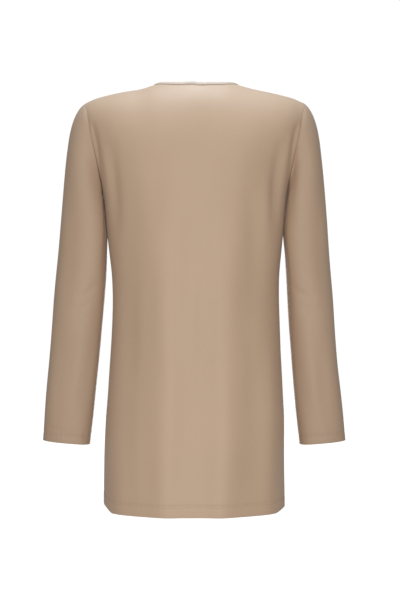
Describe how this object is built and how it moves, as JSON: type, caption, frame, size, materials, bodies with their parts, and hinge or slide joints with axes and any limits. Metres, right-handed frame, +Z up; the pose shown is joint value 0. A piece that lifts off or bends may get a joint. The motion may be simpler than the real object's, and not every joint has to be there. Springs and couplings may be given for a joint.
{
  "type": "tunic top",
  "caption": "Hollow worn tunic top with long set-in sleeves, a bound round neckline and a straight hem over the hips.",
  "frame": {"origin": "at the neck, in the plane of the side and shoulder seams, level with the shoulder seams' inner ends, where the wearer's shoulders hold the garment", "axes": "+Z up, +X towards the wearer's left, -Y the way the garment faces"},
  "size_m": [0.5594, 0.2449, 0.7771],
  "materials": {
    "jersey": "smooth matt fine-knit jersey, warm beige brown",
    "binding": "the same jersey, cut as a narrow folded strip"
  },
  "bodies": {
    "root": {"back": "jersey", "front": "jersey", "sleeve_left": "jersey", "sleeve_right": "jersey", "neck_binding": "binding"}
  },
  "joints": []
}
